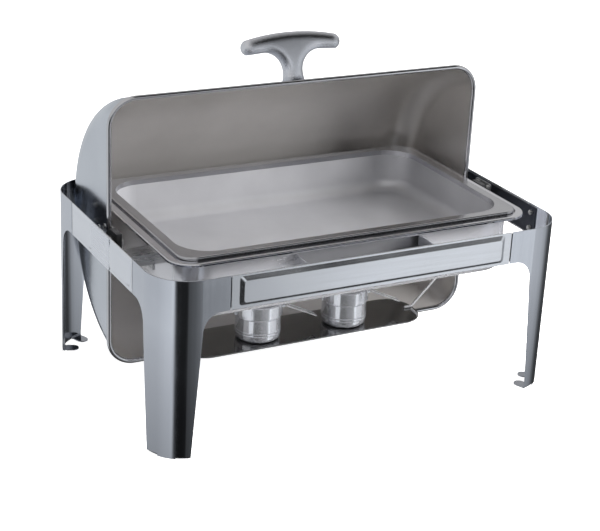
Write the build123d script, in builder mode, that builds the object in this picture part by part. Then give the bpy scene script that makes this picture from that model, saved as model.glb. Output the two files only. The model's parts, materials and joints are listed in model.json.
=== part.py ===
from build123d import *
from math import cos, radians, sin
import os

os.makedirs("parts", exist_ok=True)

# A roll top chafer, lid rolled open. Millimetres. +X is the right-hand end, -Y the front, +Z up.
# The origin is on the table, under the middle of the frame.

# ---------------------------------------------------------------- driving dimensions
SHEET = 1.5              # sheet thickness of the frame, the lid and the water pan
SEAM = 1.8               # seam between a leg plate and a rail
RUN_GAP = 0.3            # gap between pieces that move past each other

FRAME_X = 316.0          # half length over the leg faces
FRAME_Y = 213.0          # half width over the leg faces
FRAME_TOP = 257.0
FRAME_CORNER = 58.0      # plan radius of a leg's corner
RAIL_HEIGHT = 48.0
LEG_REACH = 97.0         # from a corner to the seam with the rail, on both faces
SHOULDER = 61.0          # leg width at the top of the arch, on each face
ANKLE = 46.0             # leg width at the table
ARCH_RADIUS = 28.0
TAB_WIDTH = 17.0
TAB_INNER = 33.0         # distance of a foot tab's tip from the corner's centre
TAB_BEND = 4.0           # outer radius of the bend from the leg into a tab
TAB_ANGLES = (202.0, 248.0)
TAB_SPREAD = 10.0        # half the arc of the leg's corner that bends into a tab, in degrees

PAD_RISE = 3.0           # height of the pressed pads on the long rails
PAD_HALF = 206.0
PAD_LOW, PAD_HIGH = 213.5, 254.5
PAD_LIPS = (5.5, 4.0, 6.5)         # widths of the bevels at the sides, the bottom and the top
PAD_CORNER = 4.0
SIDE_PAD_RISE = 2.5
SIDE_PAD_LIPS = (4.0, 3.0, 6.5)
SIDE_PAD_IN, SIDE_PAD_OUT = 34.0, 108.0
SIDE_PAD_LOW, SIDE_PAD_HIGH = 214.0, 252.0

BACKING_OVERLAP = 22.0   # how far a backing strip reaches behind a leg plate
BACKING_LOW, BACKING_HIGH = 212.0, 254.0
STUD_R = 2.0
STUD_LEVELS = (221.0, 245.0)
STUD_INSET = 12.0        # from the seam to a stud
STUD_LENGTH = 6.0
STUD_TIP = 0.8           # how far a hinge plate's stud stands out of its nut
NUT_R = 3.9
NUT_HEIGHT = 3.2

AXIS_Z = 234.5           # height of the lid's pivot, above the origin
LID_R = 197.5            # outside radius of the lid's barrel
LID_END = 293.5          # outside of the lid's end caps
LID_BLEND = 38.0         # fillet between the barrel and an end cap
RIM_Y = 24.5             # the rim's plane, behind the pivot, with the lid open
BEAD_R = 3.5
BEAD_X, BEAD_Z = 294.5, 197.0
BEAD_CORNER = 39.0

PIVOT_R = 5.0
BUSH_R = 7.0
PIVOT_FIT = 0.05         # radial running clearance of the pivot
EAR_THICK = 2.0
EAR_NOSE = 14.0
EAR_TAIL_Y, EAR_TAIL_R = 62.0, 20.0
RIVET_R = 2.0
RIVET_HEAD = 1.0
RIVET_SPOTS = ((44.0, 9.0), (44.0, -9.0), (66.0, 0.0))   # (Y, Z from the pivot)
STOP_HALF = 20.7         # the stop block's faces, just short of the rim bead
BOSS_R = 12.0
PLATE_HALF = 20.0
PLATE_LOW, PLATE_HIGH = 213.0, 253.0
PLATE_THICK = 2.5
PLATE_CORNER = 3.0
PLATE_BOLTS = ((-14.0, 247.0), (14.0, 247.0))            # (Y, Z) of the hinge plate's studs
BLOCK_IN, BLOCK_OUT = LID_END - 0.4, 301.0
BUSH_IN, BUSH_OUT = BLOCK_IN - 3.9, BLOCK_IN - RUN_GAP
PIN_SHOULDER = BUSH_IN - RUN_GAP
NECK_R, NECK_LENGTH = 3.0, 4.0
CAP_NUT_R, CAP_NUT_LENGTH, CAP_NUT_CHAMFER = 6.5, 5.0, 1.0
COVER_RISE, COVER_CHAMFER = 1.2, 0.5
COVER_GAP = 1.0          # between a cover and the pads beside it
COVER_CORNER = 2.0

FOOD_X, FOOD_Y = 265.0, 162.5      # a full size (GN 1/1) gastronorm pan
FOOD_TOP, FOOD_DEPTH = 267.0, 65.0
FOOD_SHEET = 1.2
FOOD_BODY_X, FOOD_BODY_Y = 252.5, 150.0
FOOD_CORNER, FOOD_MOUTH_CORNER = 22.0, 48.0
FOOD_RIM_DROP, FOOD_RIM_ROUND = 6.7, 2.0
FOOD_BASE_ROUND = 20.0
FOOD_DRAFT = 3.0         # degrees

WATER_X, WATER_Y = 279.0, 175.0
WATER_TOP, WATER_FLOOR = 262.5, 172.0
WATER_BODY_X, WATER_BODY_Y = 262.0, 159.5
WATER_LEDGE = 260.0
WATER_CORNER, WATER_BODY_CORNER = 36.0, 42.0
WATER_RIM_ROUND, WATER_BASE_ROUND = 1.8, 16.0
STEP_IN = 11.0           # from the rim's outside to the step down to the ledge
SPOUT_HALF, SPOUT_FRONT = 99.0, 197.0
SPOUT_TOP, SPOUT_LOW = 250.0, 222.0
SPOUT_LEAN, SPOUT_KNEE = 4.0, 236.0   # the front wall leans in to where the sloping floor starts
WINDOW_LOW = SPOUT_LOW + 2 * SHEET

ARM_NEAR, ARM_FAR = -30.0, -60.0   # the pan arms' extent along Y
ARM_TOP, ARM_LOW = 237.0, 213.0
ARM_SHEET = 2.0
ARM_SIDE_LOW = ARM_LOW + 8.0       # the folded sides stop short of the folded ends
ARM_BOLT_Y = (-38.0, -52.0)
ARM_BOLT_Z, ARM_BOLT_HEAD = 226.0, 2.5

TRAY_X, TRAY_Y = 200.0, 46.0
TRAY_TOP, TRAY_THICK = 58.0, 2.0
TRAY_CORNER, TRAY_ROUND = 40.0, 0.8
WIRE_R, WIRE_BEND_R = 2.0, 4.5
WIRE_FOOT_X, WIRE_BEND_X, WIRE_UP_X = 184.0, 197.0, 251.0
WIRE_TOP_Z, WIRE_END_X = 166.0, 236.0
HOOK_IN, HOOK_OUT = 240.0, 242.5     # the eye plates under the water pan
HOOK_HALF, HOOK_LOW = 8.0, 160.0

FUEL_X, FUEL_Y = 72.5, -5.0
CUP_R, CUP_TOP = 34.5, 111.0
CUP_SHEET = 1.0
CUP_FOOT_IN, CUP_FOOT_UP = 1.0, 3.0      # the bevel around the cup's base
COLLAR_R, COLLAR_LOW, COLLAR_TOP = 36.2, 98.0, 117.0
COLLAR_MOUTH, COLLAR_SHEET = 29.0, 1.2
COLLAR_BEVEL = 1.5
COLLAR_INNER = CUP_R - 0.5
LUG_LOW, LUG_Z, LUG_HIGH = 99.0, 104.0, 112.0
LUG_ROOT = CUP_R + 0.2
LUG_X = 40.0             # distance of a handle's hinge from the cup's centre
LUGS = ((1, 4.5, 42.5), (-1, 2.5, 39.5))   # (way along X, half width, reach) of each lug
LOOP_R, LOOP_BEND_R = 1.1, 2.6
LOOP_FIT = 0.08
LOOP_LENGTH = 62.0
LOOP_HALF, LOOP_END_HALF = 8.0, 6.0
LOOP_SPLIT = 0.6         # half the gap where the wire's ends meet inside the lug
LOOP_SLOPE = 26.0        # degrees below level

SCREW_X = 8.0
SCREW_R = 2.0
SCREW_HEAD_R, SCREW_HEAD = 4.0, 2.5
SCREW_DEPTH = 14.0       # how far the screws reach into the handle
SCREW_SEAT = 0.15        # the flat heads touch the curved lid at their rims
GRIP_TILT = 15.7         # handle's lean behind the vertical, lid open, in degrees
GRIP_HALF = 78.0
GRIP_DEPTH = 22.0
GRIP_TOP, GRIP_END_TOP = 71.0, 63.3        # heights above the lid's barrel
GRIP_UNDER, GRIP_END_UNDER = 43.5, 42.0
GRIP_ROUND = 8.0         # rounding of the handle's long edges
GRIP_NOSE = 7.0          # length of the rounded ends
STEM_HALF, STEM_FOOT_HALF = 14.5, 16.5
STEM_WAIST = 8.0         # height of the narrowest part over the barrel
STEM_SINK = 3.0          # how deep the stem starts, before it is cut to the lid's curve
FLARE_X = 45.0

RAIL_BOTTOM = FRAME_TOP - RAIL_HEIGHT
RAIL_X = FRAME_X - LEG_REACH - SEAM
RAIL_Y = FRAME_Y - LEG_REACH - SEAM
INNER_X = FRAME_X - SHEET            # inside face of the end rails
INNER_Y = FRAME_Y - SHEET
BACK_X = INNER_X - SHEET             # inside face of the end backing strips
PLATE_X = BACK_X - PLATE_THICK       # inside face of the hinge plates
EAR_X = LID_END - SHEET - EAR_THICK  # inside face of the lid's ears
CORNER_X = FRAME_CORNER - FRAME_X    # centre of the front left corner
CORNER_Y = FRAME_CORNER - FRAME_Y
SIDES = {"left": -1, "right": 1}


# ---------------------------------------------------------------- helpers
def save(part, label):
    """Labels a finished piece and writes its STEP file."""
    part.label = label
    export_step(part, f"parts/{label}.step")


def end_plane(side, x):
    """The plane at a distance x along +X or -X, facing outwards; its local axes are (+-Y, Z)."""
    return Plane(origin=(side * x, 0, 0), x_dir=(0, side, 0), z_dir=(side, 0, 0))


def pivot_plane(side, x):
    """The plane across the pivot at a distance x along +X or -X; its local axes are (Y, Z)."""
    return Plane(origin=(side * x, 0, AXIS_Z), x_dir=(0, 1, 0), z_dir=(1, 0, 0))


def face_plane(y, facing=-1):
    """The plane at a given Y, facing the front (-1) or the back (1)."""
    return Plane(origin=(0, y, 0), x_dir=(-facing, 0, 0), z_dir=(0, facing, 0))


def mirrored(part, flip_x, flip_y):
    """A copy of a piece of the front left quarter, mirrored to another quarter."""
    if flip_x:
        part = mirror(part, about=Plane.YZ)
    if flip_y:
        part = mirror(part, about=Plane.XZ)
    return part


def pressed_pad(outer_plane, centre, half, low, high, rise, lips):
    """A hollow pad pressed out of a sheet: lofted outwards, and hollowed from behind.

    lips are the bevels' widths at the sides, the bottom and the top.
    """
    side_lip, low_lip, high_lip = lips

    def outline(plane, inset, lift):
        width = 2 * (half - inset - side_lip * lift)
        bottom = low + inset + low_lip * lift
        top = high - inset - high_lip * lift
        with BuildSketch(plane) as section:
            with Locations((centre, (bottom + top) / 2)):
                RectangleRounded(width, top - bottom, PAD_CORNER)
        return section.sketch

    inset = SHEET / 2
    loft([outline(outer_plane, 0, 0), outline(outer_plane.offset(rise), 0, 1)])
    behind = outer_plane.offset(-SHEET)
    loft([outline(behind, inset, 0), outline(behind.offset(rise), inset, 1)], mode=Mode.SUBTRACT)


# ---------------------------------------------------------------- frame
with BuildPart() as leg:
    with BuildSketch():
        RectangleRounded(2 * FRAME_X, 2 * FRAME_Y, FRAME_CORNER)
        RectangleRounded(2 * INNER_X, 2 * INNER_Y, FRAME_CORNER - SHEET, mode=Mode.SUBTRACT)
        with Locations((-FRAME_X, -FRAME_Y)):
            Rectangle(2 * LEG_REACH, 2 * LEG_REACH, mode=Mode.INTERSECT)
    extrude(amount=FRAME_TOP)
    # At each foot the corner is cut back and rolled inwards, into a flat tab with a round tip.
    for angle in TAB_ANGLES:
        start = radians(angle - TAB_SPREAD)
        bend_plane = Plane(
            origin=(CORNER_X, CORNER_Y, 0),
            x_dir=(cos(start), sin(start), 0),
            z_dir=(sin(start), -cos(start), 0),
        )
        corner_axis = Axis((CORNER_X, CORNER_Y, 0), (0, 0, 1))
        with BuildSketch(bend_plane):
            with Locations((FRAME_CORNER, TAB_BEND / 2)):
                Rectangle(4 * SHEET, TAB_BEND)
        revolve(axis=corner_axis, revolution_arc=2 * TAB_SPREAD, mode=Mode.SUBTRACT)
        with BuildSketch(bend_plane):
            with BuildLine():
                outside = CenterArc((FRAME_CORNER - TAB_BEND, TAB_BEND), TAB_BEND, -90, 90)
                inside = CenterArc((FRAME_CORNER - TAB_BEND, TAB_BEND), TAB_BEND - SHEET, -90, 90)
                Line(outside @ 0, inside @ 0)
                Line(outside @ 1, inside @ 1)
            make_face()
        revolve(axis=corner_axis, revolution_arc=2 * TAB_SPREAD)
    for plane, corner in ((face_plane(0), -FRAME_X), (end_plane(1, 0), -FRAME_Y)):
        with BuildSketch(plane) as arch:
            with BuildLine():
                Polyline(
                    (corner + ANKLE, 0), (corner + SHOULDER, RAIL_BOTTOM),
                    (0, RAIL_BOTTOM), (0, 0), close=True,
                )
            make_face()
            fillet(arch.vertices().sort_by_distance((corner + SHOULDER, RAIL_BOTTOM))[0], ARCH_RADIUS)
        extrude(amount=FRAME_X, both=True, mode=Mode.SUBTRACT)
    with BuildSketch():
        for angle in TAB_ANGLES:
            middle = (TAB_INNER + FRAME_CORNER) / 2
            across = middle * cos(radians(angle))
            along = middle * sin(radians(angle))
            with Locations((CORNER_X + across, CORNER_Y + along)):
                SlotOverall(FRAME_CORNER - TAB_INNER, TAB_WIDTH, rotation=angle)
        with Locations((CORNER_X, CORNER_Y)):
            Circle(FRAME_CORNER - TAB_BEND, mode=Mode.INTERSECT)
    extrude(amount=SHEET)

for end, flip_x in (("left", False), ("right", True)):
    for face, flip_y in (("front", False), ("rear", True)):
        save(mirrored(leg.part, flip_x, flip_y), f"leg_{face}_{end}")

for name, facing in (("front_rail", -1), ("rear_rail", 1)):
    skin = face_plane(facing * FRAME_Y, facing)
    with BuildPart() as rail:
        with BuildSketch(skin.offset(-SHEET)):
            with Locations((0, (FRAME_TOP + RAIL_BOTTOM) / 2)):
                Rectangle(2 * RAIL_X, RAIL_HEIGHT)
        extrude(amount=SHEET)
        pressed_pad(skin, 0, PAD_HALF, PAD_LOW, PAD_HIGH, PAD_RISE, PAD_LIPS)
    save(rail.part, name)

    with BuildPart() as backing:
        with BuildSketch(skin.offset(-2 * SHEET)):
            with Locations((0, (BACKING_LOW + BACKING_HIGH) / 2)):
                Rectangle(2 * (RAIL_X + BACKING_OVERLAP), BACKING_HIGH - BACKING_LOW)
        extrude(amount=SHEET)
        with Locations(*[
            skin.offset(-2 * SHEET).location * Location((side * (RAIL_X + STUD_INSET), level, 0))
            for side in (-1, 1) for level in STUD_LEVELS
        ]):
            Hole(STUD_R, depth=2 * SHEET)
    save(backing.part, name.replace("rail", "backing"))

for end, side in SIDES.items():
    skin = end_plane(side, FRAME_X)
    with BuildPart() as rail:
        with BuildSketch(skin.offset(-SHEET)):
            with Locations((0, (FRAME_TOP + RAIL_BOTTOM) / 2)):
                Rectangle(2 * RAIL_Y, RAIL_HEIGHT)
        extrude(amount=SHEET)
        for way in (-1, 1):
            middle = way * (SIDE_PAD_IN + SIDE_PAD_OUT) / 2
            half = (SIDE_PAD_OUT - SIDE_PAD_IN) / 2
            pressed_pad(skin, middle, half, SIDE_PAD_LOW, SIDE_PAD_HIGH, SIDE_PAD_RISE, SIDE_PAD_LIPS)
    save(rail.part, f"{end}_rail")

    with BuildPart() as backing:
        with BuildSketch(skin.offset(-2 * SHEET)):
            with Locations((0, (BACKING_LOW + BACKING_HIGH) / 2)):
                Rectangle(2 * (RAIL_Y + BACKING_OVERLAP), BACKING_HIGH - BACKING_LOW)
        extrude(amount=SHEET)
        with Locations(*[
            skin.offset(-2 * SHEET).location * Location((way * (RAIL_Y + STUD_INSET), level, 0))
            for way in (-1, 1) for level in STUD_LEVELS
        ]):
            Hole(STUD_R, depth=2 * SHEET)
    save(backing.part, f"{end}_backing")

# Studs are welded to the leg plates, pass through the backing strips and carry the nuts.
stud_planes = []
for facing in (-1, 1):
    for side in (-1, 1):
        for level in STUD_LEVELS:
            stud_planes.append(
                Plane(origin=(side * (RAIL_X + STUD_INSET), facing * INNER_Y, level), z_dir=(0, -facing, 0))
            )
            stud_planes.append(
                Plane(origin=(side * INNER_X, facing * (RAIL_Y + STUD_INSET), level), z_dir=(-side, 0, 0))
            )

with BuildPart() as studs:
    for plane in stud_planes:
        with BuildSketch(plane):
            Circle(STUD_R)
        extrude(amount=STUD_LENGTH)
save(studs.part, "frame_studs")

with BuildPart() as nuts:
    for plane in stud_planes:
        with BuildSketch(plane.offset(SHEET)):
            RegularPolygon(NUT_R, 6)
            Circle(STUD_R, mode=Mode.SUBTRACT)
        extrude(amount=NUT_HEIGHT)
save(nuts.part, "frame_nuts")

# ---------------------------------------------------------------- hinges
for end, side in SIDES.items():
    with BuildPart() as plate:
        with BuildSketch(end_plane(side, PLATE_X)):
            with Locations((0, (PLATE_LOW + PLATE_HIGH) / 2)):
                RectangleRounded(2 * PLATE_HALF, PLATE_HIGH - PLATE_LOW, PLATE_CORNER)
            with Locations((0, AXIS_Z)):
                Circle(PIVOT_R, mode=Mode.SUBTRACT)
            with Locations(*PLATE_BOLTS):
                Circle(STUD_R, mode=Mode.SUBTRACT)
        extrude(amount=PLATE_THICK)
    save(plate.part, f"hinge_plate_{end}")

    # A square block whose rear top corner is rounded to the path of the rim bead. Its rear
    # face stops the open lid, and its top face stops the closed one.
    with BuildPart() as block:
        with BuildSketch(pivot_plane(side, BLOCK_IN)) as square:
            Rectangle(2 * STOP_HALF, 2 * STOP_HALF)
            fillet(square.vertices().group_by(Axis.Y)[-1].sort_by(Axis.X)[-1], STOP_HALF - 0.01)
            Circle(PIVOT_R, mode=Mode.SUBTRACT)
        extrude(amount=side * (BLOCK_OUT - BLOCK_IN))
        with BuildSketch(pivot_plane(side, BLOCK_OUT)):
            Circle(BOSS_R)
            Circle(PIVOT_R, mode=Mode.SUBTRACT)
        extrude(amount=side * (PLATE_X - BLOCK_OUT))
    save(block.part, f"stop_block_{end}")

    with BuildPart() as pin:
        with BuildSketch(Plane(origin=(side * PIN_SHOULDER, 0, AXIS_Z), z_dir=(side, 0, 0))):
            Circle(PIVOT_R)
        extrude(amount=BACK_X - PIN_SHOULDER)
        with BuildSketch(Plane(origin=(side * PIN_SHOULDER, 0, AXIS_Z), z_dir=(-side, 0, 0))):
            Circle(NECK_R)
        extrude(amount=NECK_LENGTH)
    save(pin.part, f"pivot_pin_{end}")

    with BuildPart() as cap_nut:
        with BuildSketch(Plane(origin=(side * PIN_SHOULDER, 0, AXIS_Z), z_dir=(-side, 0, 0))):
            RegularPolygon(CAP_NUT_R, 6)
        extrude(amount=CAP_NUT_LENGTH)
        chamfer(cap_nut.faces().sort_by(Axis.X)[0 if side > 0 else -1].edges(), CAP_NUT_CHAMFER)
        with BuildSketch(Plane(origin=(side * PIN_SHOULDER, 0, AXIS_Z), z_dir=(-side, 0, 0))):
            Circle(NECK_R)
        extrude(amount=NECK_LENGTH, mode=Mode.SUBTRACT)
    save(cap_nut.part, f"pivot_nut_{end}")

    with BuildPart() as bush:
        with BuildSketch(Plane(origin=(side * BUSH_IN, 0, AXIS_Z), z_dir=(side, 0, 0))):
            Circle(BUSH_R)
            Circle(PIVOT_R + PIVOT_FIT, mode=Mode.SUBTRACT)
        extrude(amount=BUSH_OUT - BUSH_IN)
    save(bush.part, f"pivot_bush_{end}")

    with BuildPart() as cover:
        with BuildSketch(end_plane(side, FRAME_X)):
            with Locations((0, (FRAME_TOP + RAIL_BOTTOM) / 2)):
                RectangleRounded(2 * (SIDE_PAD_IN - COVER_GAP), RAIL_HEIGHT - COVER_GAP, COVER_CORNER)
        extrude(amount=COVER_RISE)
        chamfer(cover.faces().sort_by(Axis.X)[-1 if side > 0 else 0].edges(), COVER_CHAMFER)
    save(cover.part, f"hinge_cover_{end}")

with BuildPart() as plate_studs:
    for side in SIDES.values():
        for y, z in PLATE_BOLTS:
            with BuildSketch(Plane(origin=(side * BACK_X, side * y, z), z_dir=(-side, 0, 0))):
                Circle(STUD_R)
            extrude(amount=PLATE_THICK + NUT_HEIGHT + STUD_TIP)
save(plate_studs.part, "hinge_studs")

with BuildPart() as plate_nuts:
    for side in SIDES.values():
        for y, z in PLATE_BOLTS:
            with BuildSketch(Plane(origin=(side * PLATE_X, side * y, z), z_dir=(-side, 0, 0))):
                RegularPolygon(NUT_R, 6)
                Circle(STUD_R, mode=Mode.SUBTRACT)
            extrude(amount=NUT_HEIGHT)
save(plate_nuts.part, "hinge_nuts")

# ---------------------------------------------------------------- lid
tilt = radians(GRIP_TILT)
# The handle's own plane: local x runs along the lid, local y away from the pivot.
grip_plane = Plane(origin=(0, 0, AXIS_Z), x_dir=(1, 0, 0), z_dir=(0, -cos(tilt), sin(tilt)))
screw_plane = Plane(origin=grip_plane.origin, x_dir=(1, 0, 0), z_dir=grip_plane.y_dir)

with BuildPart() as lid_hollow:
    with BuildSketch(Plane.YZ.offset(-LID_END + SHEET)):
        with Locations((0, AXIS_Z)):
            Circle(LID_R - SHEET)
    extrude(amount=2 * (LID_END - SHEET))
    fillet(lid_hollow.edges().filter_by(GeomType.CIRCLE), LID_BLEND - SHEET)

with BuildPart() as lid_shell:
    with BuildSketch(Plane.YZ.offset(-LID_END)):
        with Locations((0, AXIS_Z)):
            Circle(LID_R)
    extrude(amount=2 * LID_END)
    fillet(lid_shell.edges().filter_by(GeomType.CIRCLE), LID_BLEND)
    add(lid_hollow.part, mode=Mode.SUBTRACT)
    split(bisect_by=Plane(origin=(0, RIM_Y, 0), z_dir=(0, 1, 0)), keep=Keep.TOP)
    for side in SIDES.values():
        with Locations(*[
            Location((side * (LID_END + SHEET), y, AXIS_Z + z), (0, side * 90, 0)) for y, z in RIVET_SPOTS
        ]):
            Hole(RIVET_R, depth=3 * SHEET)
    with BuildSketch(screw_plane):
        with Locations((-SCREW_X, 0), (SCREW_X, 0)):
            Circle(SCREW_R)
    extrude(amount=LID_R + SHEET, mode=Mode.SUBTRACT)
save(lid_shell.part, "lid_shell")

with BuildSketch(face_plane(RIM_Y)) as rim_outline:
    with Locations((0, AXIS_Z)):
        RectangleRounded(2 * BEAD_X, 2 * BEAD_Z, BEAD_CORNER)
rim_path = rim_outline.sketch.face().outer_wire()

with BuildPart() as lid_rim:
    with BuildSketch(Plane(origin=rim_path @ 0, z_dir=rim_path % 0)):
        Circle(BEAD_R)
    sweep(path=rim_path)
    add(lid_shell.part, mode=Mode.SUBTRACT)
save(lid_rim.part, "lid_rim")

for end, side in SIDES.items():
    with BuildPart() as ear:
        with BuildSketch(pivot_plane(side, EAR_X)):
            Circle(EAR_NOSE)
            with Locations((EAR_TAIL_Y, 0)):
                Circle(EAR_TAIL_R)
            make_hull()
            Circle(BUSH_R, mode=Mode.SUBTRACT)
            with Locations(*RIVET_SPOTS):
                Circle(RIVET_R, mode=Mode.SUBTRACT)
        extrude(amount=side * EAR_THICK)
        add(lid_rim.part, mode=Mode.SUBTRACT)
    save(ear.part, f"lid_ear_{end}")

with BuildPart() as ear_rivets:
    for side in SIDES.values():
        for y, z in RIVET_SPOTS:
            for x, outward in ((EAR_X, -1), (LID_END, 1)):
                with BuildSketch(Plane(origin=(side * x, y, AXIS_Z + z), z_dir=(side * outward, 0, 0))):
                    Circle(2 * RIVET_R)
                extrude(amount=RIVET_HEAD)
            with BuildSketch(Plane(origin=(side * EAR_X, y, AXIS_Z + z), z_dir=(side, 0, 0))):
                Circle(RIVET_R)
            extrude(amount=EAR_THICK + SHEET)
save(ear_rivets.part, "ear_rivets")

# ---------------------------------------------------------------- lid handle
with BuildPart() as handle:
    with BuildSketch(grip_plane):
        with BuildLine():
            crown = ThreePointArc(
                (GRIP_NOSE - GRIP_HALF, LID_R + GRIP_END_TOP), (0, LID_R + GRIP_TOP),
                (GRIP_HALF - GRIP_NOSE, LID_R + GRIP_END_TOP),
            )
            right_end = ThreePointArc(
                crown @ 1, (GRIP_HALF, LID_R + (GRIP_END_TOP + GRIP_END_UNDER) / 2),
                (GRIP_HALF - GRIP_NOSE, LID_R + GRIP_END_UNDER),
            )
            right_under = Line(right_end @ 1, (FLARE_X, LID_R + GRIP_UNDER))
            right_flare = TangentArc(
                right_under @ 1, (STEM_HALF, LID_R + STEM_WAIST), tangent=right_under % 1
            )
            right_stem = Line(right_flare @ 1, (STEM_FOOT_HALF, LID_R - STEM_SINK))
            foot = Line(right_stem @ 1, (-STEM_FOOT_HALF, LID_R - STEM_SINK))
            left_stem = Line(foot @ 1, (-STEM_HALF, LID_R + STEM_WAIST))
            left_under = Line((-FLARE_X, LID_R + GRIP_UNDER), (GRIP_NOSE - GRIP_HALF, LID_R + GRIP_END_UNDER))
            TangentArc(left_under @ 0, left_stem @ 1, tangent=-(left_under % 0))
            ThreePointArc(
                left_under @ 1, (-GRIP_HALF, LID_R + (GRIP_END_TOP + GRIP_END_UNDER) / 2), crown @ 0
            )
        make_face()
    extrude(amount=GRIP_DEPTH / 2, both=True)
    fillet(handle.faces().filter_by(grip_plane).edges(), GRIP_ROUND)
    with BuildSketch(Plane.YZ.offset(-GRIP_HALF)):
        with Locations((0, AXIS_Z)):
            Circle(LID_R)
    extrude(amount=2 * GRIP_HALF, mode=Mode.SUBTRACT)
    with BuildSketch(screw_plane):
        with Locations((-SCREW_X, 0), (SCREW_X, 0)):
            Circle(SCREW_R)
    extrude(amount=LID_R + SCREW_DEPTH, mode=Mode.SUBTRACT)
save(handle.part, "lid_handle")

with BuildPart() as handle_screws:
    head_plane = screw_plane.offset(LID_R - SHEET - SCREW_SEAT)
    for x in (-SCREW_X, SCREW_X):
        with BuildSketch(head_plane.offset(-SCREW_HEAD)):
            with Locations((x, 0)):
                Circle(SCREW_HEAD_R)
        extrude(amount=SCREW_HEAD)
        with BuildSketch(head_plane):
            with Locations((x, 0)):
                Circle(SCREW_R)
        extrude(amount=SHEET + SCREW_DEPTH)
save(handle_screws.part, "handle_screws")

# ---------------------------------------------------------------- pans
with BuildPart() as food_pan:
    with BuildSketch(Plane.XY.offset(FOOD_TOP)):
        RectangleRounded(2 * FOOD_BODY_X, 2 * FOOD_BODY_Y, FOOD_MOUTH_CORNER)
    extrude(amount=-FOOD_DEPTH, taper=FOOD_DRAFT)
    fillet(food_pan.faces().sort_by(Axis.Z)[0].edges(), FOOD_BASE_ROUND)
    with BuildSketch(Plane.XY.offset(FOOD_TOP)):
        RectangleRounded(2 * FOOD_X, 2 * FOOD_Y, FOOD_CORNER)
    extrude(amount=-FOOD_RIM_DROP)
    fillet(food_pan.faces().sort_by(Axis.Z)[-1].edges(), FOOD_RIM_ROUND)
    with BuildSketch(Plane.XY.offset(FOOD_TOP - FOOD_RIM_DROP)):
        RectangleRounded(2 * (FOOD_X - FOOD_SHEET), 2 * (FOOD_Y - FOOD_SHEET), FOOD_CORNER - FOOD_SHEET)
        RectangleRounded(2 * FOOD_BODY_X, 2 * FOOD_BODY_Y, FOOD_MOUTH_CORNER, mode=Mode.SUBTRACT)
    extrude(amount=FOOD_RIM_DROP - FOOD_SHEET, mode=Mode.SUBTRACT)

with BuildPart() as food_hollow:
    with BuildSketch(Plane.XY.offset(FOOD_TOP)):
        RectangleRounded(
            2 * (FOOD_BODY_X - FOOD_SHEET), 2 * (FOOD_BODY_Y - FOOD_SHEET), FOOD_MOUTH_CORNER - FOOD_SHEET
        )
    extrude(amount=-FOOD_DEPTH + FOOD_SHEET, taper=FOOD_DRAFT)
    fillet(food_hollow.faces().sort_by(Axis.Z)[0].edges(), FOOD_BASE_ROUND - FOOD_SHEET)

with BuildPart() as food_pan_open:
    add(food_pan.part)
    add(food_hollow.part, mode=Mode.SUBTRACT)
save(food_pan_open.part, "food_pan")

with BuildPart() as water_hollow:
    with BuildSketch(Plane.XY.offset(WATER_FLOOR + SHEET)):
        RectangleRounded(2 * (WATER_BODY_X - SHEET), 2 * (WATER_BODY_Y - SHEET), WATER_BODY_CORNER - SHEET)
    extrude(amount=WATER_TOP - WATER_FLOOR)
    fillet(water_hollow.faces().sort_by(Axis.Z)[0].edges(), WATER_BASE_ROUND)

with BuildPart() as water_pan:
    with BuildSketch(Plane.XY.offset(WATER_FLOOR)):
        RectangleRounded(2 * WATER_BODY_X, 2 * WATER_BODY_Y, WATER_BODY_CORNER)
    extrude(amount=WATER_LEDGE - WATER_FLOOR)
    fillet(water_pan.faces().sort_by(Axis.Z)[0].edges(), WATER_BASE_ROUND + SHEET)
    with BuildSketch(Plane.XY.offset(WATER_LEDGE - SHEET)):
        RectangleRounded(2 * WATER_X, 2 * WATER_Y, WATER_CORNER)
    extrude(amount=WATER_TOP - WATER_LEDGE + SHEET)
    fillet(water_pan.faces().sort_by(Axis.Z)[-1].edges(), WATER_RIM_ROUND)
    with BuildSketch(Plane.XY.offset(WATER_LEDGE)):
        RectangleRounded(2 * (WATER_X - STEP_IN), 2 * (WATER_Y - STEP_IN), WATER_CORNER - STEP_IN)
    extrude(amount=WATER_TOP - WATER_LEDGE, mode=Mode.SUBTRACT)
    add(water_hollow.part, mode=Mode.SUBTRACT)
    # The window through which the filling spout opens into the pan.
    with BuildSketch(face_plane(-WATER_BODY_Y)):
        with Locations((0, (WINDOW_LOW + SPOUT_TOP) / 2)):
            Rectangle(2 * (SPOUT_HALF - SHEET), SPOUT_TOP - WINDOW_LOW)
    extrude(amount=-2 * SHEET, mode=Mode.SUBTRACT)
save(water_pan.part, "water_pan")

# The filling spout: a wedge shaped trough welded along the front wall.
with BuildPart() as spout:
    with BuildSketch(Plane.YZ.offset(-SPOUT_HALF)):
        with BuildLine():
            Polyline(
                (-WATER_BODY_Y, SPOUT_LOW), (-SPOUT_FRONT + SPOUT_LEAN, SPOUT_KNEE),
                (-SPOUT_FRONT, SPOUT_TOP), (-WATER_BODY_Y, SPOUT_TOP), close=True,
            )
        make_face()
    extrude(amount=2 * SPOUT_HALF)
    with BuildSketch(Plane.YZ.offset(-SPOUT_HALF + SHEET)):
        with BuildLine():
            Polyline(
                (-WATER_BODY_Y, WINDOW_LOW), (-SPOUT_FRONT + SPOUT_LEAN + SHEET, SPOUT_KNEE + SHEET),
                (-SPOUT_FRONT + SHEET, SPOUT_TOP), (-WATER_BODY_Y, SPOUT_TOP), close=True,
            )
        make_face()
    extrude(amount=2 * (SPOUT_HALF - SHEET), mode=Mode.SUBTRACT)
save(spout.part, "filling_spout")

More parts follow.
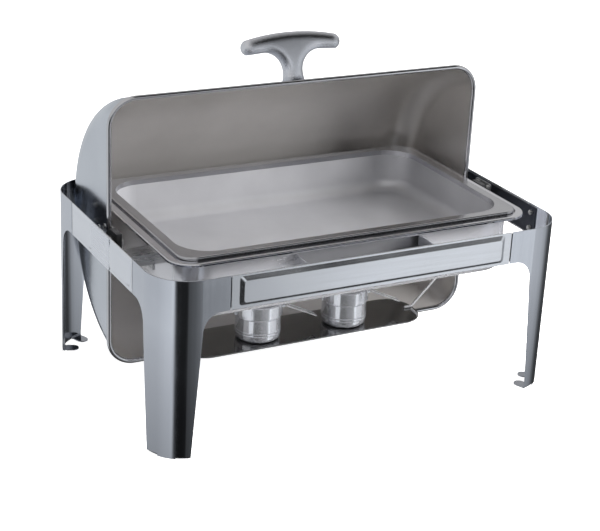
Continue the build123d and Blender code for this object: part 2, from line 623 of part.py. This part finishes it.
# Arms bolted between the end rails and the water pan, ahead of the pivots, clear of the lid's path.
for end, side in SIDES.items():
    with BuildPart() as arm:
        with BuildSketch(Plane.XY.offset(ARM_TOP - ARM_SHEET)):
            with Locations((side * (WATER_BODY_X + BACK_X) / 2, (ARM_NEAR + ARM_FAR) / 2)):
                Rectangle(BACK_X - WATER_BODY_X, ARM_NEAR - ARM_FAR)
        extrude(amount=ARM_SHEET)
        for x in (WATER_BODY_X + ARM_SHEET / 2, BACK_X - ARM_SHEET / 2):
            with BuildSketch(Plane.XY.offset(ARM_LOW)):
                with Locations((side * x, (ARM_NEAR + ARM_FAR) / 2)):
                    Rectangle(ARM_SHEET, ARM_NEAR - ARM_FAR)
            extrude(amount=ARM_TOP - ARM_LOW)
        for y in (ARM_NEAR - ARM_SHEET / 2, ARM_FAR + ARM_SHEET / 2):
            with BuildSketch(Plane.XY.offset(ARM_SIDE_LOW)):
                with Locations((side * (WATER_BODY_X + BACK_X) / 2, y)):
                    Rectangle(BACK_X - WATER_BODY_X, ARM_SHEET)
            extrude(amount=ARM_TOP - ARM_SIDE_LOW)
    save(arm.part, f"pan_arm_{end}")

with BuildPart() as arm_bolts:
    for side in SIDES.values():
        for y in ARM_BOLT_Y:
            for x, way in ((WATER_BODY_X + ARM_SHEET, 1), (BACK_X - ARM_SHEET, -1)):
                with BuildSketch(Plane(origin=(side * x, y, ARM_BOLT_Z), z_dir=(side * way, 0, 0))):
                    Circle(NUT_R)
                extrude(amount=ARM_BOLT_HEAD)
save(arm_bolts.part, "arm_bolts")

# ---------------------------------------------------------------- fuel tray, its hangers and their eyes
with BuildPart() as tray:
    with BuildSketch(Plane.XY.offset(TRAY_TOP - TRAY_THICK)):
        RectangleRounded(2 * TRAY_X, 2 * TRAY_Y, TRAY_CORNER)
    extrude(amount=TRAY_THICK)
    fillet(tray.faces().sort_by(Axis.Z)[-1].edges(), TRAY_ROUND)
save(tray.part, "fuel_tray")

for end, side in SIDES.items():
    rise = WIRE_UP_X - WIRE_BEND_X
    foot_z = TRAY_TOP + WIRE_R
    with BuildPart() as hanger:
        with BuildLine() as wire:
            FilletPolyline(
                (side * WIRE_FOOT_X, 0, foot_z), (side * WIRE_BEND_X, 0, foot_z),
                (side * WIRE_UP_X, 0, foot_z + rise), (side * WIRE_UP_X, 0, WIRE_TOP_Z),
                (side * WIRE_END_X, 0, WIRE_TOP_Z), radius=WIRE_BEND_R,
            )
        with BuildSketch(Plane(origin=(side * WIRE_FOOT_X, 0, foot_z), z_dir=(side, 0, 0))):
            Circle(WIRE_R)
        sweep(path=wire.wire())
    save(hanger.part, f"tray_hanger_{end}")

    with BuildPart() as eye:
        with BuildSketch(end_plane(side, HOOK_IN)):
            with Locations((0, (HOOK_LOW + WATER_FLOOR) / 2)):
                Rectangle(2 * HOOK_HALF, WATER_FLOOR - HOOK_LOW)
            with Locations((0, WIRE_TOP_Z)):
                Circle(WIRE_R, mode=Mode.SUBTRACT)
        extrude(amount=HOOK_OUT - HOOK_IN)
    save(eye.part, f"tray_eye_{end}")

# ---------------------------------------------------------------- fuel holders
for end, side in SIDES.items():
    centre_x = side * FUEL_X
    base_z = TRAY_TOP + RUN_GAP
    with BuildPart() as cup:
        with BuildSketch(Plane.XZ.offset(-FUEL_Y)):
            with BuildLine():
                Polyline(
                    (centre_x, base_z), (centre_x + CUP_R - CUP_FOOT_IN, base_z),
                    (centre_x + CUP_R, base_z + CUP_FOOT_UP),
                    (centre_x + CUP_R, CUP_TOP), (centre_x + CUP_R - CUP_SHEET, CUP_TOP),
                    (centre_x + CUP_R - CUP_SHEET, base_z + CUP_FOOT_UP),
                    (centre_x + CUP_R - CUP_FOOT_IN - CUP_SHEET, base_z + CUP_SHEET),
                    (centre_x, base_z + CUP_SHEET), close=True,
                )
            make_face()
        revolve(axis=Axis((centre_x, FUEL_Y, 0), (0, 0, 1)))
    save(cup.part, f"fuel_cup_{end}")

    with BuildPart() as collar:
        with BuildSketch(Plane.XZ.offset(-FUEL_Y)):
            with BuildLine():
                Polyline(
                    (centre_x + CUP_R, COLLAR_LOW), (centre_x + COLLAR_R, COLLAR_LOW),
                    (centre_x + COLLAR_R, COLLAR_TOP - COLLAR_BEVEL),
                    (centre_x + COLLAR_R - COLLAR_BEVEL, COLLAR_TOP), (centre_x + COLLAR_MOUTH, COLLAR_TOP),
                    (centre_x + COLLAR_MOUTH, COLLAR_TOP - COLLAR_SHEET),
                    (centre_x + COLLAR_INNER, COLLAR_TOP - COLLAR_SHEET),
                    (centre_x + CUP_R, COLLAR_TOP - 2 * COLLAR_SHEET), close=True,
                )
            make_face()
        revolve(axis=Axis((centre_x, FUEL_Y, 0), (0, 0, 1)))
        for way, half_width, reach in LUGS:
            with BuildSketch(Plane.XY.offset(LUG_LOW)):
                with Locations((centre_x + way * (LUG_ROOT + reach) / 2, FUEL_Y)):
                    Rectangle(reach - LUG_ROOT, 2 * half_width)
            extrude(amount=LUG_HIGH - LUG_LOW)
        with BuildSketch(Plane.XZ.offset(-FUEL_Y)):
            with Locations((centre_x + LUG_X, LUG_Z)):
                Circle(LOOP_R + LOOP_FIT)
        extrude(amount=LUG_X, both=True, mode=Mode.SUBTRACT)
    save(collar.part, f"fuel_collar_{end}")

    slope = radians(LOOP_SLOPE)
    loop_plane = Plane(
        origin=(centre_x + LUG_X, FUEL_Y, LUG_Z),
        x_dir=(cos(slope), 0, -sin(slope)),
        z_dir=(sin(slope), 0, cos(slope)),
    )
    with BuildPart() as loop:
        with BuildLine(loop_plane) as loop_wire:
            FilletPolyline(
                (0, LOOP_SPLIT), (0, LOOP_HALF), (LOOP_LENGTH, LOOP_END_HALF),
                (LOOP_LENGTH, -LOOP_END_HALF), (0, -LOOP_HALF), (0, -LOOP_SPLIT), radius=LOOP_BEND_R,
            )
        with BuildSketch(Plane(origin=(centre_x + LUG_X, FUEL_Y + LOOP_SPLIT, LUG_Z), z_dir=(0, 1, 0))):
            Circle(LOOP_R)
        sweep(path=loop_wire.wire())
    save(loop.part, f"fuel_handle_{end}")
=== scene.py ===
import json
from math import acos, cos, pi, radians, sin

import bmesh
import bpy
from mathutils import Matrix, Vector


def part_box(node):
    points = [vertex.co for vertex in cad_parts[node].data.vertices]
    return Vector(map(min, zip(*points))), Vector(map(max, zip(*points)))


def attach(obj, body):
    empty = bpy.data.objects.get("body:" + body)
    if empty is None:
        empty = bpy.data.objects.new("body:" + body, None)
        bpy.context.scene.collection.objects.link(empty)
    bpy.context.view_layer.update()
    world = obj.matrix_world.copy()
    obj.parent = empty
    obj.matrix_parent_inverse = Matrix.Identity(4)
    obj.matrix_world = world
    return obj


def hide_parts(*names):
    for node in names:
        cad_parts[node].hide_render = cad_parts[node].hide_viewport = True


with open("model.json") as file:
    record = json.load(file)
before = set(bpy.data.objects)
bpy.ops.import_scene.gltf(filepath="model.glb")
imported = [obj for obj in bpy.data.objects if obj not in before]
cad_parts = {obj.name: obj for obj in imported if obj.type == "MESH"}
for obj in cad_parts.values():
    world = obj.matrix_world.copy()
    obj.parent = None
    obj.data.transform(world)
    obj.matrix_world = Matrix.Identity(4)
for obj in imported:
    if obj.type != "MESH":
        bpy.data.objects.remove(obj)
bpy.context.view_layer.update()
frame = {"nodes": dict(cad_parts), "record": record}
nodes = frame["nodes"]
ROUND_STEPS = 96                 # steps around a spun piece, the floor or the lid's arc

# ---------------------------------------------------------------- camera
CAMERA_PLACE = Vector((-1.02334, -1.87262, 1.02856))
CAMERA_TURN = radians(28.571)    # to the right of straight along +Y
CAMERA_DOWN = radians(22.21)
CAMERA_ROLL = radians(2.812)
CAMERA_LENS = 93.44              # mm, on a 36 mm wide sensor


def make_camera():
    """A long lens from the front left, a little above the lid."""
    right = Vector((cos(CAMERA_TURN), -sin(CAMERA_TURN), 0))
    level = Vector((sin(CAMERA_TURN), cos(CAMERA_TURN), 0))
    ahead = level * cos(CAMERA_DOWN) - Vector((0, 0, sin(CAMERA_DOWN)))
    up = right.cross(ahead)
    side = right * cos(CAMERA_ROLL) + up * sin(CAMERA_ROLL)
    top = up * cos(CAMERA_ROLL) - right * sin(CAMERA_ROLL)
    turn = Matrix((side, top, -ahead)).transposed()
    data = bpy.data.cameras.new("camera")
    data.lens = CAMERA_LENS
    data.sensor_width = 36.0
    data.clip_start = 0.05
    camera = bpy.data.objects.new("camera", data)
    camera.matrix_world = Matrix.Translation(CAMERA_PLACE) @ turn.to_4x4()
    bpy.context.scene.collection.objects.link(camera)
    bpy.context.scene.camera = camera


# ---------------------------------------------------------------- node graphs
class Graph:
    """Short ways to add and join shader nodes."""

    def __init__(self, tree):
        self.tree = tree
        tree.nodes.clear()

    def add(self, kind, inputs=(), **settings):
        node = self.tree.nodes.new("ShaderNode" + kind)
        for name, value in settings.items():
            setattr(node, name, value)
        for name, value in dict(inputs).items():
            self.feed(node.inputs[name], value)
        return node

    def feed(self, socket, value):
        if isinstance(value, bpy.types.NodeSocket):
            self.tree.links.new(value, socket)
        else:
            socket.default_value = value

    def math(self, operation, first, second=0.0):
        return self.add("Math", {0: first, 1: second}, operation=operation).outputs[0]

    def spread(self, value, low, high, to_low, to_high):
        """The value, moved from low..high to to_low..to_high and clamped there."""
        inputs = {"Value": value, "From Min": low, "From Max": high, "To Min": to_low, "To Max": to_high}
        return self.add("MapRange", inputs).outputs["Result"]

    def blend(self, factor, first, second):
        """A colour between two colours."""
        node = self.add("Mix", data_type="RGBA")
        self.feed(node.inputs["Factor"], factor)
        self.feed(node.inputs["A"], first)
        self.feed(node.inputs["B"], second)
        return node.outputs["Result"]

    def noise(self, vector, scale, detail=3.0, stretch=(1, 1, 1)):
        """Noise whose features are drawn out where stretch is small."""
        moved = self.add("Mapping", {"Vector": vector, "Scale": stretch}).outputs[0]
        inputs = {"Vector": moved, "Scale": scale, "Detail": detail}
        return self.add("TexNoise", inputs).outputs["Fac"]

    def bump(self, height, depth, normal, strength=1.0):
        """The normal, tilted by a height map of this depth in metres."""
        inputs = {"Strength": strength, "Distance": depth, "Height": height, "Normal": normal}
        return self.add("Bump", inputs).outputs["Normal"]

    def split(self, vector):
        return self.add("SeparateXYZ", {"Vector": vector}).outputs

    def soft_edge(self, radius):
        """The normal with edges of this radius rounded off."""
        return self.add("Bevel", {"Radius": radius}, samples=4).outputs["Normal"]


def grey(value):
    return (value, value, value, 1.0)


def scaled(colour, share):
    """The colour times a share, no brighter than white."""
    return tuple(min(1.0, channel * share) for channel in colour[:3]) + (1.0,)


# ---------------------------------------------------------------- studio
# What the metal reflects, as azimuth in degrees from the front (to the right is positive) and the
# light's strength: a sweep of pale cards below eye level, with a dark gap behind the camera.
LOW_CARDS = (
    (-180, 0.66), (-150, 0.65), (-100, 0.66), (-62, 0.78), (-52, 0.86), (-46, 0.12), (-42, 0.014),
    (-16, 0.016), (-12, 0.09), (2, 0.12), (14, 0.17), (22, 0.24), (27, 0.38), (31, 0.90), (36, 0.95),
    (41, 0.62), (62, 0.58), (78, 0.46), (90, 0.20), (100, 0.07), (122, 0.07), (134, 0.50),
    (158, 0.60), (180, 0.66),
)
# The same just above eye level: bright in front and at the left, dark behind the object.
EYE_CARDS = (
    (-180, 0.55), (-150, 0.62), (-112, 0.60), (-80, 0.55), (-40, 0.60), (0, 0.80), (30, 0.88),
    (60, 0.62), (90, 0.55), (118, 0.50), (134, 0.08), (150, 0.03), (162, 0.08), (172, 0.50), (180, 0.55),
)
FLOOR_SHADE = 0.05               # what faces turned steeply down reflect
CEILING = 0.60
SLOT = 0.03                      # a dark slot in the front half of the ceiling
SLOT_X = 0.44                    # the slot's middle, right of the object
CARD_TINT = (0.94, 0.97, 1.0)
FLOOR_GLOW = 0.85                # a back-lit floor, so that the shadow under the object stays soft


def card_ramp(graph, turn, cards):
    """A ring of cards around the object as a colour ramp."""
    node = graph.add("ValToRGB", {"Fac": turn})
    ramp = node.color_ramp
    ramp.interpolation = "EASE"
    while len(ramp.elements) < len(cards):
        ramp.elements.new(0.5)
    for element, (azimuth, light) in zip(ramp.elements, cards):
        element.position = (azimuth + 180) / 360
        element.color = (light * CARD_TINT[0], light * CARD_TINT[1], light * CARD_TINT[2], 1.0)
    return node.outputs["Color"]


def make_world():
    """The studio that the metal reflects, and plain white where the world itself is seen."""
    world = bpy.data.worlds.new("studio")
    world.use_nodes = True
    bpy.context.scene.world = world
    graph = Graph(world.node_tree)
    aim = graph.split(graph.add("TexCoord").outputs["Generated"])
    azimuth = graph.math("ARCTAN2", aim["X"], graph.math("MULTIPLY", aim["Y"], -1.0))
    turn = graph.math("ADD", graph.math("DIVIDE", azimuth, 2 * pi), 0.5)
    height = graph.spread(aim["Z"], -0.02, 0.10, 0.0, 1.0)
    ring = graph.blend(height, card_ramp(graph, turn, LOW_CARDS), card_ramp(graph, turn, EYE_CARDS))
    ring = graph.blend(graph.spread(aim["Z"], -0.60, -0.80, 0.0, 1.0), ring, grey(FLOOR_SHADE))
    aside = graph.math("ABSOLUTE", graph.math("SUBTRACT", aim["X"], SLOT_X))
    beyond = graph.spread(aim["Y"], -0.10, 0.12, 0.0, 1.0)
    open_sky = graph.math("MAXIMUM", graph.spread(aside, 0.13, 0.28, 0.0, 1.0), beyond)
    ceiling = graph.blend(open_sky, grey(SLOT), grey(CEILING))
    lit = graph.blend(graph.spread(aim["Z"], 0.20, 0.26, 0.0, 1.0), ring, ceiling)
    seen = graph.add("LightPath").outputs["Is Camera Ray"]
    colour = graph.blend(seen, lit, grey(1.0))
    background = graph.add("Background", {"Color": colour, "Strength": 1.0})
    output = graph.add("OutputWorld", {"Surface": background.outputs[0]})
    output.is_active_output = True


def make_light(name, place, aim, size, power):
    """A soft box that lights matt surfaces and the floor, and that polished metal doesn't mirror."""
    data = bpy.data.lights.new(name, "AREA")
    data.shape = "RECTANGLE"
    data.size, data.size_y = size
    data.energy = power
    lamp = bpy.data.objects.new(name, data)
    lamp.location = place
    lamp.visible_glossy = False
    lamp.rotation_euler = (Vector(aim) - Vector(place)).to_track_quat("-Z", "Y").to_euler()
    bpy.context.scene.collection.objects.link(lamp)


FLOOR_RADIUS = 9.0


def make_stage():
    """A wide pale floor. The metal reflects the studio's cards instead of it."""
    mesh = bpy.data.meshes.new("floor")
    bm = bmesh.new()
    bmesh.ops.create_circle(bm, cap_ends=True, segments=ROUND_STEPS, radius=FLOOR_RADIUS)
    bm.to_mesh(mesh)
    bm.free()
    floor = bpy.data.objects.new("floor", mesh)
    bpy.context.scene.collection.objects.link(floor)
    floor.visible_glossy = False
    floor.visible_shadow = False
    material = bpy.data.materials.new("floor_paper")
    material.use_nodes = True
    graph = Graph(material.node_tree)
    place = graph.add("TexCoord").outputs["Object"]
    tone = graph.blend(graph.noise(place, 3.0, 4.0), (0.88, 0.88, 0.875, 1), (0.92, 0.92, 0.92, 1))
    shader = graph.add("BsdfPrincipled", {"Base Color": tone, "Roughness": 0.9, "Emission Color": tone})
    shader.inputs["Emission Strength"].default_value = FLOOR_GLOW
    graph.add("OutputMaterial", {"Surface": shader.outputs[0]})
    mesh.materials.append(material)


# ---------------------------------------------------------------- materials
WORN_LIGHT = 1.12                # rubbed edges, against the metal's light tone
FOOT_HEIGHT = 0.19               # foot_shade fades out at this height
RIM_STEP = 0.0005                # the polish of a rim fades in over this height


def metal(name, dark, light, roughness, grain=(4, 700, 700), grain_depth=0.00002, wave_depth=0.0,
          smudge=0.05, edge=0.0006, gloss=1.0, foot_shade=1.0, rim_height=0.0, contrast=1.0):
    """Sheet or cast metal: brushed grain, handling smudges, soft bright edges and slight waviness.

    grain is the noise's scale along each axis, so the brush lines run where it is small. edge is the
    radius of the softened edges, gloss below 1 gives a matt look, foot_shade paints shade on the metal,
    darker towards the ground, above rim_height the metal is polished, and contrast scales the grain's
    strength.
    """
    material = bpy.data.materials.new(name)
    material.use_nodes = True
    graph = Graph(material.node_tree)
    place = graph.add("TexCoord").outputs["Object"]
    lines = graph.noise(place, 1.0, 4.0, grain)
    clouds = graph.noise(place, 11.0, 5.0)
    specks = graph.noise(place, 420.0, 2.0)
    tone = graph.blend(graph.spread(clouds, 0.3, 0.7, 0.0, 1.0), dark, light)
    tone = graph.blend(graph.spread(lines, 0.35, 0.65, 0.0, 0.16 * contrast), tone, dark)
    rough = graph.spread(lines, 0.3, 0.7, roughness - 0.05 * contrast, roughness + 0.05 * contrast)
    rough = graph.math("ADD", rough, graph.spread(clouds, 0.35, 0.75, -smudge / 2, smudge))
    rough = graph.math("ADD", rough, graph.spread(specks, 0.55, 0.75, 0.0, 0.04 * contrast))
    round_edge = graph.soft_edge(edge)
    plain = graph.add("NewGeometry").outputs["Normal"]
    turned = graph.add("VectorMath", {0: round_edge, 1: plain}, operation="DOT_PRODUCT").outputs["Value"]
    worn = graph.spread(turned, 0.995, 0.90, 0.0, 0.8)
    tone = graph.blend(worn, tone, scaled(light, WORN_LIGHT))
    normal = graph.bump(lines, grain_depth, round_edge)
    if wave_depth:
        normal = graph.bump(graph.noise(place, 9.0, 1.0), wave_depth, normal)
    # painted shade: below FOOT_HEIGHT the tone darkens towards the ground, standing in for the shade near
    # the floor
    if foot_shade < 1.0:
        height = graph.split(place)["Z"]
        fade = graph.spread(height, FOOT_HEIGHT, 0.0, 0.0, 1.0)
        tone = graph.blend(fade, tone, scaled(dark, foot_shade))
    metallic = gloss
    if rim_height:
        height = graph.split(place)["Z"]
        polish = graph.spread(height, rim_height - RIM_STEP, rim_height, 0.0, 1.0)
        metallic = graph.spread(polish, 0.0, 1.0, gloss, 1.0)
        rough = graph.math("MULTIPLY", rough, graph.spread(polish, 0.0, 1.0, 1.0, 0.5))
    inputs = {"Base Color": tone, "Metallic": metallic, "Roughness": rough, "Normal": normal}
    shader = graph.add("BsdfPrincipled", inputs)
    graph.add("OutputMaterial", {"Surface": shader.outputs[0]})
    return material


def plastic(name, dark, light, roughness):
    """Moulded plastic with a fine eroded texture and a little dust in it."""
    material = bpy.data.materials.new(name)
    material.use_nodes = True
    graph = Graph(material.node_tree)
    place = graph.add("TexCoord").outputs["Object"]
    pits = graph.noise(place, 900.0, 3.0)
    clouds = graph.noise(place, 60.0, 4.0)
    tone = graph.blend(graph.spread(clouds, 0.35, 0.7, 0.0, 1.0), dark, light)
    rough = graph.spread(pits, 0.3, 0.7, roughness - 0.08, roughness + 0.08)
    round_edge = graph.soft_edge(0.0008)
    normal = graph.bump(pits, 0.00015, round_edge, 0.6)
    inputs = {"Base Color": tone, "Roughness": rough, "Normal": normal}
    shader = graph.add("BsdfPrincipled", inputs)
    graph.add("OutputMaterial", {"Surface": shader.outputs[0]})
    return material


WATER_RIM = 0.2590               # above these heights the pans' rims are polished
FOOD_RIM = 0.2600
MATERIALS = {
    "frame_steel": metal("frame_steel", (0.60, 0.625, 0.68, 1), (0.66, 0.685, 0.74, 1), 0.12,
                         grain=(160, 160, 5), grain_depth=0.000003, wave_depth=0.0004, foot_shade=0.62),
    "rail_steel": metal("rail_steel", (0.82, 0.84, 0.89, 1), (0.88, 0.90, 0.94, 1), 0.22,
                        grain=(9, 9, 300), grain_depth=0.000001, edge=0.0012, contrast=0.5),
    # backing_steel is painted near-black as painted shade: the backing behind the seams stands in for the
    # shade in their gaps, so they read as dark lines
    "backing_steel": metal("backing_steel", (0.05, 0.055, 0.07, 1), (0.09, 0.095, 0.11, 1), 0.36),
    "bracket_steel": metal("bracket_steel", (0.46, 0.46, 0.47, 1), (0.58, 0.58, 0.58, 1), 0.28, gloss=0.9,
                           grain=(6, 300, 300), grain_depth=0.000004),
    "cover_steel": metal("cover_steel", (0.80, 0.82, 0.88, 1), (0.86, 0.88, 0.93, 1), 0.25,
                         grain=(9, 9, 300), grain_depth=0.000001, edge=0.0008, contrast=0.5),
    "block_plastic": plastic("block_plastic", (0.012, 0.012, 0.013, 1), (0.03, 0.03, 0.032, 1), 0.42),
    "fastener_steel": metal("fastener_steel", (0.48, 0.48, 0.47, 1), (0.62, 0.62, 0.62, 1), 0.28,
                            grain=(300, 300, 300), edge=0.0003, gloss=0.9),
    "bush_nylon": plastic("bush_nylon", (0.66, 0.62, 0.52, 1), (0.76, 0.73, 0.64, 1), 0.40),
    "wire_steel": metal("wire_steel", (0.66, 0.66, 0.67, 1), (0.78, 0.78, 0.79, 1), 0.18,
                        grain=(30, 400, 400), edge=0.0002, gloss=0.85),
    "fuel_steel": metal("fuel_steel", (0.70, 0.71, 0.75, 1), (0.82, 0.83, 0.87, 1), 0.12,
                        grain=(30, 30, 700), grain_depth=0.000003, edge=0.0004, gloss=0.85),
    "water_pan_steel": metal("water_pan_steel", (0.66, 0.66, 0.69, 1), (0.74, 0.74, 0.77, 1), 0.24,
                             grain=(30, 300, 300), grain_depth=0.0000004, wave_depth=0.0003, gloss=0.72,
                             edge=0.0, contrast=0.2, rim_height=WATER_RIM),
    "food_pan_steel": metal("food_pan_steel", (0.50, 0.50, 0.52, 1), (0.58, 0.58, 0.60, 1), 0.36,
                            grain=(30, 300, 300), grain_depth=0.0000004, gloss=0.66, rim_height=FOOD_RIM,
                            edge=0.0, contrast=0.2),
    "tray_steel": metal("tray_steel", (0.34, 0.34, 0.34, 1), (0.42, 0.42, 0.42, 1), 0.07,
                        grain=(5, 400, 400), grain_depth=0.000002, wave_depth=0.0003),
    "lid_steel": metal("lid_steel", (0.61, 0.64, 0.69, 1), (0.68, 0.71, 0.76, 1), 0.17,
                       grain=(12, 300, 300), grain_depth=0.0000006, wave_depth=0.0003, contrast=0.4),
    "lid_satin": metal("lid_satin", (0.66, 0.635, 0.615, 1), (0.74, 0.715, 0.695, 1), 0.33,
                       grain=(12, 300, 300), grain_depth=0.0000004, smudge=0.04, gloss=0.80, contrast=0.3),
    "rim_steel": metal("rim_steel", (0.60, 0.60, 0.62, 1), (0.68, 0.68, 0.70, 1), 0.14,
                       grain=(60, 60, 60), grain_depth=0.000003, edge=0.0002),
    "handle_chrome": metal("handle_chrome", (0.66, 0.67, 0.71, 1), (0.76, 0.77, 0.81, 1), 0.10,
                           grain=(60, 60, 60), grain_depth=0.000003, edge=0.013),
}
# Nodes whose finish differs from the rest of their slot.
FINISH = {
    "front_rail": "rail_steel", "rear_rail": "rail_steel", "left_rail": "rail_steel",
    "right_rail": "rail_steel", "pan_arm_left": "bracket_steel", "pan_arm_right": "bracket_steel",
    "hinge_plate_left": "bracket_steel", "hinge_plate_right": "bracket_steel",
    "tray_eye_left": "bracket_steel", "tray_eye_right": "bracket_steel",
    "lid_ear_left": "bracket_steel", "lid_ear_right": "bracket_steel", "filling_spout": "fuel_steel",
}


def dress_frame():
    """Gives every CAD node its own finish, or else the material of its slot."""
    for entry in frame["record"]["subparts"]:
        node = nodes[entry["node"]]
        node.data.materials.clear()
        node.data.materials.append(MATERIALS[FINISH.get(entry["node"], entry["material_slot"])])


# ---------------------------------------------------------------- mesh work
def add_piece(name, mesh, body, stands_for):
    """A finished piece that rides on a body and takes the place of a CAD node."""
    piece = bpy.data.objects.new(name, mesh)
    bpy.context.scene.collection.objects.link(piece)
    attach(piece, body)
    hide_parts(stands_for)
    return piece


def grid_mesh(name, rows, closed=False):
    """A smooth skin over rows of points; rows whose points fall together are merged."""
    bm = bmesh.new()
    ring = [[bm.verts.new(point) for point in row] for row in rows]
    count = len(rows[0])
    for first, second in zip(ring, ring[1:]):
        for k in range(count if closed else count - 1):
            after = (k + 1) % count
            bm.faces.new((first[k], first[after], second[after], second[k]))
    bmesh.ops.remove_doubles(bm, verts=bm.verts, dist=1e-6)
    bmesh.ops.recalc_face_normals(bm, faces=bm.faces)
    for face in bm.faces:
        face.smooth = True
    mesh = bpy.data.meshes.new(name)
    bm.to_mesh(mesh)
    bm.free()
    return mesh


def thickened(mesh, thickness, materials):
    """The skin made into a sheet: the first material outside, the second inside."""
    source = bpy.data.objects.new("source", mesh)
    bpy.context.scene.collection.objects.link(source)
    for material in materials:
        mesh.materials.append(material)
    shell = source.modifiers.new("sheet", "SOLIDIFY")
    shell.thickness = thickness
    shell.offset = -1
    shell.material_offset = 1
    shell.use_even_offset = True
    solid = bpy.data.meshes.new_from_object(source.evaluated_get(bpy.context.evaluated_depsgraph_get()))
    solid.name = mesh.name
    bpy.data.objects.remove(source)
    solid.set_sharp_from_angle(angle=radians(40))
    return solid


# ---------------------------------------------------------------- lid
SHEET = 0.0015
LID_BLEND = 0.038                # fillet between the lid's barrel and its ends
CAP_STEPS = 10                   # rows of the skin over a flat end,
ARC_STEPS = 14                   # over a fillet,
BARREL_ROWS = (-0.19, -0.12, -0.05)    # and their places along half of the barrel


def lid_profile(half, radius, rim):
    """(x, distance from the pivot axis) along the lid, from the middle of one end to the other."""
    cap = [(-half, rim + (radius - LID_BLEND - rim) * k / CAP_STEPS) for k in range(CAP_STEPS)]
    corner = []
    for k in range(ARC_STEPS + 1):
        turn = radians(90) * k / ARC_STEPS
        corner.append((-half + LID_BLEND * (1 - cos(turn)), radius - LID_BLEND * (1 - sin(turn))))
    barrel = [(x, radius) for x in BARREL_ROWS]
    left = cap + corner + barrel
    return left + [(-x, r) for x, r in reversed(left)]


def make_lid():
    """The lid as one drawn sheet, polished outside and satin inside."""
    low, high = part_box("lid_shell")
    half, radius, rim = high.x, high.y, low.y
    axis_z = (low.z + high.z) / 2
    rows = []
    for x, reach in lid_profile(half, radius, rim):
        limit = acos(min(1.0, rim / reach))
        turns = [limit * (2 * k / ROUND_STEPS - 1) for k in range(ROUND_STEPS + 1)]
        rows.append([(x, reach * cos(turn), axis_z + reach * sin(turn)) for turn in turns])
    skin = grid_mesh("lid_body", rows)
    sheet = thickened(skin, SHEET, (MATERIALS["lid_steel"], MATERIALS["lid_satin"]))
    add_piece("lid_body", sheet, "lid", "lid_shell")


# ---------------------------------------------------------------- fuel holders
def lathe(name, centre, profile, material):
    """A spun piece: the profile (distance, height) turned about an upright axis."""
    rows = []
    for reach, height in profile:
        turns = [2 * pi * k / ROUND_STEPS for k in range(ROUND_STEPS)]
        rows.append([(centre.x + reach * cos(turn), centre.y + reach * sin(turn), height) for turn in turns])
    mesh = grid_mesh(name, rows, closed=True)
    mesh.materials.append(material)
    mesh.set_sharp_from_angle(angle=radians(50))
    return mesh


def round_corner(centre, radius, start, end, steps=7):
    """Points of an arc in a profile, from one angle to another in degrees."""
    points = []
    for k in range(steps + 1):
        turn = radians(start + (end - start) * k / steps)
        points.append((centre[0] + radius * cos(turn), centre[1] + radius * sin(turn)))
    return points


CUP_WALL = 0.001
CUP_FOOT = 0.007                 # radius of the rounded foot
CUP_BEAD = 0.0007
BEAD_LEVELS = (0.22, 0.30, 0.70)    # as shares of the cup's height


def make_fuel_cup(end):
    """A spun cup: a rounded foot, three beads, a rolled lip and a closed bottom."""
    low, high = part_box("fuel_cup_" + end)
    centre = (low + high) / 2
    reach = (high.x - low.x) / 2
    side = reach - CUP_BEAD
    outside = [(0.0, low.z), (reach - CUP_FOOT, low.z)]
    outside += round_corner((side - CUP_FOOT, low.z + CUP_FOOT), CUP_FOOT, -80, 0)
    for level in BEAD_LEVELS:
        height = low.z + (high.z - low.z) * level
        outside.append((side, height - 3 * CUP_BEAD))
        outside += round_corner((side, height), CUP_BEAD, -80, 80)
        outside.append((side, height + 3 * CUP_BEAD))
    lip = CUP_WALL / 2
    outside += [(side, high.z - CUP_WALL)] + round_corner((side - lip, high.z - lip), lip, 0, 180)
    bottom = round_corner((side - CUP_FOOT, low.z + CUP_FOOT), CUP_FOOT - CUP_WALL, 0, -90)
    inside = [(side - CUP_WALL, low.z + CUP_FOOT)] + bottom + [(0.0, low.z + CUP_WALL)]
    mesh = lathe("spun_cup_" + end, centre, outside + inside, MATERIALS["fuel_steel"])
    add_piece("spun_cup_" + end, mesh, "fuel_holder_" + end, "fuel_cup_" + end)


# ---------------------------------------------------------------- putting it together
make_camera()
make_world()
make_stage()
make_light("top_box", (0.2, -0.4, 2.3), (0, 0, 0.2), (2.6, 1.8), 42)
make_light("side_box", (2.0, -1.3, 1.2), (0, 0, 0.25), (1.3, 1.3), 190)
dress_frame()
make_lid()
for end in ("left", "right"):
    make_fuel_cup(end)
bpy.context.scene.view_settings.view_transform = "Standard"
